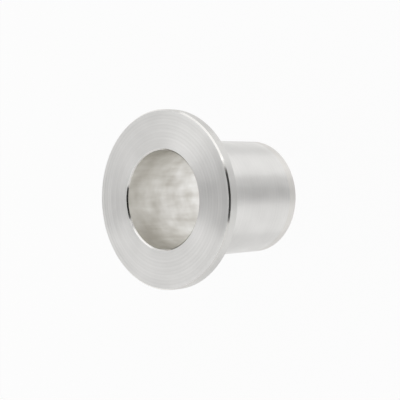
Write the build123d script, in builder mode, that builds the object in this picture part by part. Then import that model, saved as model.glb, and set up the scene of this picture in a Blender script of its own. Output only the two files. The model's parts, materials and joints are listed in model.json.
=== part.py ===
"""Lap joint pipe stub end: a short pipe whose face end carries a flat turned lap, and whose other end is bevelled
for a butt weld. A loose backing flange slides over the pipe from the weld end and pulls on the back of the lap.

Frame: +Z along the pipe axis, with the origin at the centre of the weld end and the gasket face on top.
Lengths are in millimetres and angles in degrees."""

import math
import os

from build123d import *

# Pipe: 42.2 mm outside diameter with a 3.56 mm wall
pipe_diameter = 42.16
pipe_wall = 3.56
overall_length = 50.8

# Lap: the flat collar that carries the gasket face
lap_diameter = 63.5
lap_thickness = 4.2
lap_root_fillet = 4.8
lap_rim_edge_break = 0.5
bore_mouth_edge_break = 0.5

# Weld end: an outside bevel that leaves a flat root face for the butt weld
weld_bevel_angle = 37.5
weld_root_face = 1.6

pipe_radius = pipe_diameter / 2
bore_radius = pipe_radius - pipe_wall
lap_radius = lap_diameter / 2
lap_back_height = overall_length - lap_thickness
root_face_radius = bore_radius + weld_root_face
bevel_height = (pipe_radius - root_face_radius) * math.tan(math.radians(weld_bevel_angle))

with BuildPart() as stub_end:
    # Half section of pipe wall and lap, turned about the pipe axis
    with BuildSketch(Plane.XZ):
        with BuildLine():
            Polyline(
                (bore_radius, 0),
                (root_face_radius, 0),
                (pipe_radius, bevel_height),
                (pipe_radius, lap_back_height),
                (lap_radius, lap_back_height),
                (lap_radius, overall_length),
                (bore_radius, overall_length),
                close=True,
            )
        make_face()
    revolve(axis=Axis.Z)

    # Circles at the back of the lap, innermost first: where the pipe meets it, and the rim
    root_circle, back_rim_circle = (
        stub_end.edges()
        .filter_by(GeomType.CIRCLE)
        .filter_by(lambda edge: abs(edge.arc_center.Z - lap_back_height) < lap_thickness / 2)
        .sort_by(SortBy.RADIUS)
    )
    fillet(root_circle, radius=lap_root_fillet)

    # Circles of the gasket face: the bore mouth, and the rim
    bore_mouth_circle, face_rim_circle = (
        stub_end.faces().sort_by(Axis.Z)[-1].edges().sort_by(SortBy.RADIUS)
    )
    chamfer(bore_mouth_circle, length=bore_mouth_edge_break)
    chamfer([face_rim_circle, back_rim_circle], length=lap_rim_edge_break)

stub_end.part.label = "stub_end"

os.makedirs("parts", exist_ok=True)
export_step(stub_end.part, "parts/stub_end.step")
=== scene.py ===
import json
import math

import bpy
import numpy as np
from mathutils import Matrix, Vector


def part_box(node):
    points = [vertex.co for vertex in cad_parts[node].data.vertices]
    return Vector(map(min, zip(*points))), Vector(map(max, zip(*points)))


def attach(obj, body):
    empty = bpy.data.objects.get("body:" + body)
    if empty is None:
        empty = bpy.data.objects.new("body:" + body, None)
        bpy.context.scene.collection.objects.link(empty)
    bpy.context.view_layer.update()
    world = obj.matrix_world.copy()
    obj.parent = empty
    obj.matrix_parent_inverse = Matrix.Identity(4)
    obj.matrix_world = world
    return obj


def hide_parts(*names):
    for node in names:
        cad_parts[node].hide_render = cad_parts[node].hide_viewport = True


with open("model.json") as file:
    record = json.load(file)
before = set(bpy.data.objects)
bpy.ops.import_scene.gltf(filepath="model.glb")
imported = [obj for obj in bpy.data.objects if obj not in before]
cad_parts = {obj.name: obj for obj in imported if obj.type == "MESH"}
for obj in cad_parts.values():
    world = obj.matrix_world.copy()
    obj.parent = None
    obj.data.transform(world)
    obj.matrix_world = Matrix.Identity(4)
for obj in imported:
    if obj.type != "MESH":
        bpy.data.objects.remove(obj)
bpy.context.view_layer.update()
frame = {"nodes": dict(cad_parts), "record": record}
print("frame loaded, nodes:", sorted(frame["nodes"]))

mm = 0.001


# Colours are written as sRGB hex and turned to the linear numbers that shaders take
def hexToLinear(text):
    parts = [int(text.lstrip("#")[i : i + 2], 16) / 255 for i in (0, 2, 4)]
    linear = [c / 12.92 if c <= 0.04045 else ((c + 0.055) / 1.055) ** 2.4 for c in parts]
    return (*linear, 1.0)


# Adds one node and sets its properties. An input, by name or number, gets a link to a socket or a value
def addNode(tree, kind, settings=None, inputs=None):
    node = tree.nodes.new(kind)
    for name, value in (settings or {}).items():
        setattr(node, name, value)
    for name, value in (inputs or {}).items():
        socket = node.inputs[name]
        if isinstance(value, bpy.types.NodeSocket):
            tree.links.new(value, socket)
        else:
            socket.default_value = value
    return node


# The camera looks at the gasket face from about 43 degrees off the pipe axis, and is rolled so that the axis
# runs across the picture
camera = {
    "place": (-259.14, -5.05, 311.01),  # mm, in the part's frame
    "right": (-0.73393, 0.02249, -0.67886),
    "down": (0.00647, 0.99964, 0.02613),
    "focal": 1046.9,  # pixels
    "imageSize": 400,
    "sensor": 36.0,  # mm
    "clip": (0.01, 20.0),  # metres
}


def makeCamera(c):
    data = bpy.data.cameras.new("camera")
    data.sensor_fit = "HORIZONTAL"
    data.sensor_width = c["sensor"]
    data.lens = c["focal"] / c["imageSize"] * c["sensor"]
    data.clip_start, data.clip_end = c["clip"]
    right = Vector(c["right"]).normalized()
    up = -Vector(c["down"])
    up = (up - up.dot(right) * right).normalized()
    back = right.cross(up)
    turn = Matrix((right, up, back)).transposed().to_4x4()
    obj = bpy.data.objects.new("camera", data)
    obj.matrix_world = Matrix.Translation(Vector(c["place"]) * mm) @ turn
    bpy.context.scene.collection.objects.link(obj)
    bpy.context.scene.camera = obj


makeCamera(camera)
print("camera placed")

# Outer sizes come from the node's box, the pipe, the bore and the back of the lap from the record's mounts
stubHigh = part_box("stub_end")[1]
mounts = {mount["name"]: mount for mount in frame["record"]["mounts"]}

# The turned body, in mm
stub = {
    "length": stubHigh.z / mm,
    "lapRadius": stubHigh.x / mm,
    "lapBack": mounts["lap_back"]["pos_m"][2] / mm,
    "pipeRadius": mounts["flange_seat"]["dims"]["r_mm"],
    "boreRadius": mounts["bore"]["dims"]["r_mm"],
    "edgeBreak": 0.5,
    "rootFillet": 4.8,
    "rootFace": 1.6,
    "bevelAngle": 37.5,
    "faceRings": 10,  # the real feed marks are about 0.2 mm apart, drawn 1.3 mm apart to show as rings
    "faceRingDepth": 0.014,
    "endLand": 3.4,  # the weld preparation also cleans a land of this width above the bevel
    "endLine": 0.5,  # width and depth of the turned line where the land starts
    "endLineDepth": 0.05,
}

# Points in each stretch of the section and in each face ring, and steps in a full turn
counts = {"bore": 14, "ring": 10, "rim": 5, "back": 4, "fillet": 13, "pipe": 14, "turn": 480}
uvLength = 100  # mm of section for one unit of v
sharpBend = 25  # degrees

# Zones along the half section, in the order of the material slots
zones = ["bore", "edge", "face", "rim", "back", "pipe", "bevel"]


# Half section as rows (zone, points): corner points in order, with arcs and rings worked out between them.
# The gasket face is a wave: its height falls by depth / 2 * (1 - cos(2 pi * rings * t)), and t goes from 0 at
# the bore to 1 at the rim
def halfSection(s, n):
    rows = []

    def run(zone, radii, heights):
        radii, heights = np.broadcast_arrays(np.atleast_1d(radii), np.atleast_1d(heights))
        rows.append((zone, np.column_stack([radii, heights])))

    top = s["length"]
    cut = s["edgeBreak"]
    fillet = s["rootFillet"]
    inner, outer = s["boreRadius"] + cut, s["lapRadius"] - cut
    rootFaceRadius = s["boreRadius"] + s["rootFace"]
    bevelHeight = (s["pipeRadius"] - rootFaceRadius) * math.tan(math.radians(s["bevelAngle"]))

    run("bore", s["boreRadius"], np.linspace(0, top - cut, n["bore"]))
    run("edge", [s["boreRadius"], inner], [top - cut, top])
    across = np.linspace(0, 1, s["faceRings"] * n["ring"] + 1)
    wave = s["faceRingDepth"] / 2 * (1 - np.cos(2 * math.pi * s["faceRings"] * across))
    run("face", inner + (outer - inner) * across, top - wave)
    run("edge", [outer, s["lapRadius"]], [top, top - cut])
    run("rim", s["lapRadius"], np.linspace(top - cut, s["lapBack"] + cut, n["rim"]))
    run("edge", [s["lapRadius"], outer], [s["lapBack"] + cut, s["lapBack"]])
    run("back", np.linspace(outer, s["pipeRadius"] + fillet, n["back"]), s["lapBack"])
    turn = np.linspace(0, math.pi / 2, n["fillet"])
    filletRadii = s["pipeRadius"] + fillet * (1 - np.sin(turn))
    run("back", filletRadii, s["lapBack"] - fillet * (1 - np.cos(turn)))

    # The turned line is a shallow V between the pipe and the land
    landTop = bevelHeight + s["endLand"]
    lineTop = landTop + s["endLine"]
    run("pipe", s["pipeRadius"], np.linspace(s["lapBack"] - fillet, lineTop, n["pipe"]))
    lineRadii = [s["pipeRadius"], s["pipeRadius"] - s["endLineDepth"], s["pipeRadius"]]
    run("pipe", lineRadii, [lineTop, (lineTop + landTop) / 2, landTop])
    run("bevel", s["pipeRadius"], [landTop, bevelHeight])
    run("bevel", [s["pipeRadius"], rootFaceRadius], [bevelHeight, 0])
    run("bevel", [rootFaceRadius, s["boreRadius"]], [0, 0])
    return rows


# A closed surface of revolution: vertex (i, j) is profile point i turned by angle 2 pi j / segments.
# Face (i, j) joins profile points i and i + 1; the last point joins the first, so the section is closed
def latheMesh(name, rows, segments):
    points = np.vstack([rz[:-1] for _, rz in rows])
    zoneOf = np.concatenate([np.full(len(rz) - 1, zones.index(zone)) for zone, rz in rows])
    count = len(points)
    angle = np.linspace(0, 2 * math.pi, segments, endpoint=False)
    radius, height = points[:, :1] * mm, points[:, 1:] * mm
    verts = np.dstack(
        [radius * np.cos(angle), radius * np.sin(angle), np.broadcast_to(height, (count, segments))]
    ).reshape(-1, 3)
    i, j = np.meshgrid(np.arange(count), np.arange(segments), indexing="ij")
    i2, j2 = (i + 1) % count, (j + 1) % segments
    quads = np.stack(
        [i * segments + j, i2 * segments + j, i2 * segments + j2, i * segments + j2], axis=-1
    ).reshape(-1, 4)
    mesh = bpy.data.meshes.new(name)
    mesh.from_pydata(verts, [], quads)
    mesh.polygons.foreach_set("material_index", np.repeat(zoneOf, segments).astype(np.int32))
    mesh.polygons.foreach_set("use_smooth", np.ones(len(quads), bool))

    # A ring of edges is sharp where the section turns by more than sharpBend
    step = np.roll(points, -1, axis=0) - points
    heading = np.arctan2(step[:, 1], step[:, 0])
    bend = np.abs((heading - np.roll(heading, 1) + math.pi) % (2 * math.pi) - math.pi)
    ends = np.zeros(len(mesh.edges) * 2, np.int32)
    mesh.edges.foreach_get("vertices", ends)
    ring = ends.reshape(-1, 2) // segments
    sharp = (ring[:, 0] == ring[:, 1]) & (bend[ring[:, 0]] > math.radians(sharpBend))
    mesh.edges.foreach_set("use_edge_sharp", sharp)

    # UV: u is the share of a turn, v the length along the section in units of uvLength
    along = np.concatenate([[0], np.cumsum(np.hypot(*step.T))]) / uvLength
    u = np.stack([j, j, j + 1, j + 1], axis=-1) / segments
    v = np.stack([along[i], along[i + 1], along[i + 1], along[i]], axis=-1)
    layer = mesh.uv_layers.new(name="turning")
    layer.data.foreach_set("uv", np.stack([u, v], axis=-1).astype(np.float32).ravel())
    mesh.update()
    return mesh


stubMesh = latheMesh("stub_end_turned", halfSection(stub, counts), counts["turn"])
stubPiece = bpy.data.objects.new("stub_end_turned", stubMesh)
bpy.context.scene.collection.objects.link(stubPiece)
print("stub end turned:", len(stubMesh.vertices), "vertices,", 2 * len(stubMesh.polygons), "triangles")


def newMaterial(name):
    material = bpy.data.materials.new(name)
    material.use_nodes = True
    material.node_tree.nodes.clear()
    return material, material.node_tree


# Most of a noise's values lie in this middle range, which the materials stretch to their two colours
noiseLow, noiseHigh = 0.35, 0.65


# Noise in Object coordinates, stretched: grain gives its size in mm along X, Y and Z
def grainNoise(tree, grain, detail=3.0):
    place = addNode(tree, "ShaderNodeTexCoord")
    stretch = addNode(
        tree, "ShaderNodeMapping", None,
        {"Vector": place.outputs["Object"], "Scale": [1 / (size * mm) for size in grain]},
    )
    noise = addNode(
        tree, "ShaderNodeTexNoise", None,
        {"Vector": stretch.outputs[0], "Scale": 1.0, "Detail": detail, "Roughness": 0.5},
    )
    return noise.outputs[0]


# Noise that changes only along the section, so that it draws rings about the axis. pitch is its grain in mm
def ringNoise(tree, pitch):
    unwrapped = addNode(tree, "ShaderNodeUVMap", {"uv_map": "turning"})
    parts = addNode(tree, "ShaderNodeSeparateXYZ", None, {0: unwrapped.outputs[0]})
    along = addNode(
        tree, "ShaderNodeMath", {"operation": "MULTIPLY"}, {0: parts.outputs["Y"], 1: uvLength / pitch}
    )
    noise = addNode(
        tree, "ShaderNodeTexNoise", {"noise_dimensions": "1D"},
        {"W": along.outputs[0], "Scale": 1.0, "Detail": 4.0, "Roughness": 0.6},
    )
    return noise.outputs[0]


# Stainless steel, 304 or 316 grade, cut on a lathe: the tool leaves rings about the axis, so the surface is
# rough across the rings and almost polished along them, and a highlight fans out over the face from the axis.
# The feed marks are 0.1 to 0.3 mm apart on the real part. ringPitch draws them coarser, so that they show.
# ringPitch, cloud and bump are in mm, and ringShare is the rings' share of rings and clouds together
turned = {
    "face": {
        "colour": "#e4e3e1", "shade": "#dddcda", "roughness": (0.28, 0.355), "anisotropy": 1.0,
        "ringPitch": 0.9, "ringShare": 0.6, "cloud": 11.0, "bump": 0.002,
    },
    "rim": {
        "colour": "#dcdbd9", "shade": "#d6d5d2", "roughness": (0.34, 0.36), "anisotropy": 1.0,
        "ringPitch": 0.45, "ringShare": 0.6, "cloud": 9.0, "bump": 0.002,
    },
    "back": {
        "colour": "#e0dfdd", "shade": "#cfcecb", "roughness": (0.38, 0.42), "anisotropy": 0.95,
        "ringPitch": 0.8, "ringShare": 0.6, "cloud": 9.0, "bump": 0.006,
    },
    "pipe": {
        "colour": "#e8e7e5", "shade": "#e0dfdd", "roughness": (0.38, 0.41), "anisotropy": 1.0,
        "ringPitch": 0.7, "ringShare": 0.4, "cloud": 10.0, "bump": 0.001,
    },
    "bevel": {
        "colour": "#e6e4e1", "shade": "#dad8d4", "roughness": (0.42, 0.46), "anisotropy": 0.85,
        "ringPitch": 0.35, "ringShare": 0.7, "cloud": 6.0, "bump": 0.002,
    },
}
acrossRings = 0.25  # of a turn, from the tangent, which runs along the rings


def turnedSteel(name, t):
    material, tree = newMaterial(name)
    rings = ringNoise(tree, t["ringPitch"])
    clouds = grainNoise(tree, (t["cloud"],) * 3)
    marks = addNode(
        tree, "ShaderNodeMix", {"data_type": "FLOAT"},
        {"Factor": t["ringShare"], "A": clouds, "B": rings},
    )
    share = addNode(
        tree, "ShaderNodeMapRange", None,
        {"Value": marks.outputs["Result"], "From Min": noiseLow, "From Max": noiseHigh},
    )
    colour = addNode(
        tree, "ShaderNodeMix", {"data_type": "RGBA"},
        {"Factor": share.outputs[0], "A": hexToLinear(t["colour"]), "B": hexToLinear(t["shade"])},
    )
    low, high = t["roughness"]
    roughness = addNode(
        tree, "ShaderNodeMapRange", None, {"Value": share.outputs[0], "To Min": low, "To Max": high}
    )
    bump = addNode(
        tree, "ShaderNodeBump", None, {"Height": rings, "Distance": t["bump"] * mm, "Strength": 1.0}
    )
    tangent = addNode(tree, "ShaderNodeTangent", {"direction_type": "UV_MAP", "uv_map": "turning"})
    shader = addNode(
        tree, "ShaderNodeBsdfPrincipled", None,
        {
            "Base Color": colour.outputs["Result"],
            "Metallic": 1.0,
            "Roughness": roughness.outputs[0],
            "Anisotropic": t["anisotropy"],
            "Anisotropic Rotation": acrossRings,
            "Normal": bump.outputs[0],
            "Tangent": tangent.outputs[0],
        },
    )
    addNode(tree, "ShaderNodeOutputMaterial", None, {"Surface": shader.outputs[0]})
    return material


# The edge breaks are touched with a fine file while the part spins, which polishes them: they mirror the
# studio as a thin bright or black line. scratch is the grain of the file's marks in mm
polished = {"colour": "#f0efec", "shade": "#e0dedb", "roughness": (0.12, 0.18), "scratch": 0.3}


def polishedEdge(name, p):
    material, tree = newMaterial(name)
    scratches = addNode(
        tree, "ShaderNodeMapRange", None,
        {"Value": ringNoise(tree, p["scratch"]), "From Min": noiseLow, "From Max": noiseHigh},
    )
    colour = addNode(
        tree, "ShaderNodeMix", {"data_type": "RGBA"},
        {"Factor": scratches.outputs[0], "A": hexToLinear(p["colour"]), "B": hexToLinear(p["shade"])},
    )
    low, high = p["roughness"]
    roughness = addNode(
        tree, "ShaderNodeMapRange", None, {"Value": scratches.outputs[0], "To Min": low, "To Max": high}
    )
    shader = addNode(
        tree, "ShaderNodeBsdfPrincipled", None,
        {
            "Base Color": colour.outputs["Result"],
            "Metallic": 1.0,
            "Roughness": roughness.outputs[0],
        },
    )
    addNode(tree, "ShaderNodeOutputMaterial", None, {"Surface": shader.outputs[0]})
    return material


# The bore keeps the skin of the drawn and pickled pipe: dull warm gray, with streaks along the axis from the
# mandrel, short scuffs across them and cloudy patches from the pickling bath. Grains and bump are in mm
drawn = {
    "pale": "#f3f2ef",
    "dull": "#dad7d0",
    "roughness": (0.29, 0.44),
    "streak": (2.2, 2.2, 16.0),
    "scuff": (12.0, 12.0, 3.0),
    "patch": (7.0, 7.0, 7.0),
    "lineDetail": 4.0,  # streaks and scuffs are broken up more finely than patches
    "patchDetail": 2.0,
    "scuffShare": 0.2,  # of streaks and scuffs together
    "patchShare": 0.6,  # of all marks
    "bump": 0.006,
}


def drawnBore(name, d):
    material, tree = newMaterial(name)
    streaks = grainNoise(tree, d["streak"], d["lineDetail"])
    scuffs = grainNoise(tree, d["scuff"], d["lineDetail"])
    patches = grainNoise(tree, d["patch"], d["patchDetail"])
    lines = addNode(
        tree, "ShaderNodeMix", {"data_type": "FLOAT"},
        {"Factor": d["scuffShare"], "A": streaks, "B": scuffs},
    )
    marks = addNode(
        tree, "ShaderNodeMix", {"data_type": "FLOAT"},
        {"Factor": d["patchShare"], "A": lines.outputs["Result"], "B": patches},
    )
    share = addNode(
        tree, "ShaderNodeMapRange", None,
        {"Value": marks.outputs["Result"], "From Min": noiseLow, "From Max": noiseHigh},
    )
    colour = addNode(
        tree, "ShaderNodeMix", {"data_type": "RGBA"},
        {"Factor": share.outputs[0], "A": hexToLinear(d["pale"]), "B": hexToLinear(d["dull"])},
    )
    low, high = d["roughness"]
    roughness = addNode(
        tree, "ShaderNodeMapRange", None, {"Value": share.outputs[0], "To Min": low, "To Max": high}
    )
    bump = addNode(
        tree, "ShaderNodeBump", None,
        {"Height": marks.outputs["Result"], "Distance": d["bump"] * mm, "Strength": 1.0},
    )
    shader = addNode(
        tree, "ShaderNodeBsdfPrincipled", None,
        {
            "Base Color": colour.outputs["Result"],
            "Metallic": 1.0,
            "Roughness": roughness.outputs[0],
            "Normal": bump.outputs[0],
        },
    )
    addNode(tree, "ShaderNodeOutputMaterial", None, {"Surface": shader.outputs[0]})
    return material


materials = {zone: turnedSteel("turned_stainless_" + zone, look) for zone, look in turned.items()}
materials["edge"] = polishedEdge("polished_stainless_edge", polished)
materials["bore"] = drawnBore("drawn_stainless_bore", drawn)
for zone in zones:
    stubMesh.materials.append(materials[zone])
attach(stubPiece, "root")
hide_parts("stub_end")
print("materials set")

# The studio: a white paper floor and a pale room, a dark gap where the camera looks in, softboxes beside,
# above and beyond the part, and a gray screen. "over" is the angle in degrees from the floor behind the
# camera (0) over the top to the far floor (180). "aside" holds the panel's two edges, in degrees to the -Y
# side of the camera's plane, first at the start and then at the end of that range
studio = {
    "floorColour": "#fcfcfc",
    "floorSize": 6.0,  # metres
    "floorShare": 0.93,  # how much of the floor's white the camera sees anyway; the rest takes the shadow
    "roomColour": "#e7e7e7",
    "white": 1.0,  # strength that renders as white
    "panelDistance": 1.5,  # metres
    "panelSteps": 16,
    "panels": {
        "gap_low": {"over": (0, 37), "aside": ((-4, 16), (-4, 16)), "strength": 0.01},
        "gap_middle": {"over": (37, 60), "aside": ((-20, 25), (-22, 30)), "strength": 0.03},
        "gap_high": {"over": (60, 120), "aside": ((-26, 41), (-9, 16)), "strength": 0.04},
        "softbox_left": {"over": (0, 48), "aside": ((34, 76), (34, 76)), "strength": 2.2},
        "softbox_top": {"over": (48, 155), "aside": ((42, 72), (61, 71)), "strength": 1.15},
        "softbox_right": {"over": (0, 33), "aside": ((-62, -12), (-62, -12)), "strength": 1.85},
        "softbox_back": {"over": (135, 180), "aside": ((-12, 6), (-12, 6)), "strength": 1.7},
        "gray_screen": {"over": (72, 120), "aside": ((-71, -44), (-71, -44)), "strength": 0.75},
    },
}


# A panel is a patch of a sphere about the part. The point at angles o (over) and s (aside) lies at
# distance * (-cos o cos s, -sin s, sin o cos s), on a grid of even steps
def makePanel(name, panel, s):
    steps = s["panelSteps"]
    shares = np.linspace(0, 1, steps + 1)
    along, across = np.meshgrid(shares, shares, indexing="ij")
    over = np.radians(panel["over"][0] + (panel["over"][1] - panel["over"][0]) * along)
    (startLeft, startRight), (endLeft, endRight) = panel["aside"]
    edge = startLeft + (endLeft - startLeft) * along
    otherEdge = startRight + (endRight - startRight) * along
    aside = np.radians(edge + (otherEdge - edge) * across)
    x, y, z = -np.cos(over) * np.cos(aside), -np.sin(aside), np.sin(over) * np.cos(aside)
    verts = s["panelDistance"] * np.stack([x, y, z], axis=-1).reshape(-1, 3)
    i, j = np.meshgrid(np.arange(steps), np.arange(steps), indexing="ij")
    corner = (i * (steps + 1) + j).ravel()
    quads = np.stack([corner, corner + 1, corner + steps + 2, corner + steps + 1], axis=-1)
    mesh = bpy.data.meshes.new(name)
    mesh.from_pydata(verts, [], quads)
    obj = bpy.data.objects.new(name, mesh)
    obj.visible_camera = False
    bpy.context.scene.collection.objects.link(obj)
    material, tree = newMaterial(name)
    glow = addNode(tree, "ShaderNodeEmission", None, {"Strength": panel["strength"]})
    addNode(tree, "ShaderNodeOutputMaterial", None, {"Surface": glow.outputs[0]})
    mesh.materials.append(material)


# The floor is white paper. Glossy and transmitted rays see it plain white, and the camera sees it white with
# a faint shadow of the part
def makeFloor(s):
    half = s["floorSize"] / 2
    corners = [(-half, -half, 0), (half, -half, 0), (half, half, 0), (-half, half, 0)]
    mesh = bpy.data.meshes.new("floor")
    mesh.from_pydata(corners, [], [(0, 1, 2, 3)])
    obj = bpy.data.objects.new("floor", mesh)
    bpy.context.scene.collection.objects.link(obj)
    material, tree = newMaterial("paper_floor")
    path = addNode(tree, "ShaderNodeLightPath")
    seen = addNode(
        tree, "ShaderNodeMath", {"operation": "MULTIPLY"},
        {0: path.outputs["Is Camera Ray"], 1: s["floorShare"]},
    )
    mirrored = addNode(
        tree, "ShaderNodeMath", {"operation": "MAXIMUM"},
        {0: path.outputs["Is Glossy Ray"], 1: path.outputs["Is Transmission Ray"]},
    )
    share = addNode(
        tree, "ShaderNodeMath", {"operation": "MAXIMUM"}, {0: seen.outputs[0], 1: mirrored.outputs[0]}
    )
    paper = addNode(tree, "ShaderNodeBsdfDiffuse", None, {"Color": hexToLinear(s["floorColour"])})
    glow = addNode(tree, "ShaderNodeEmission", None, {"Strength": s["white"]})
    both = addNode(
        tree, "ShaderNodeMixShader", None,
        {0: share.outputs[0], 1: paper.outputs[0], 2: glow.outputs[0]},
    )
    addNode(tree, "ShaderNodeOutputMaterial", None, {"Surface": both.outputs[0]})
    mesh.materials.append(material)


makeFloor(studio)
for panelName, panel in studio["panels"].items():
    makePanel(panelName, panel, studio)

world = bpy.data.worlds.new("studio")
bpy.context.scene.world = world
world.use_nodes = True
world.node_tree.nodes.clear()
room = addNode(
    world.node_tree, "ShaderNodeBackground", None,
    {"Color": hexToLinear(studio["roomColour"]), "Strength": studio["white"]},
)
addNode(world.node_tree, "ShaderNodeOutputWorld", None, {"Surface": room.outputs[0]})
bpy.context.scene.view_settings.view_transform = "Standard"
print("studio lit")
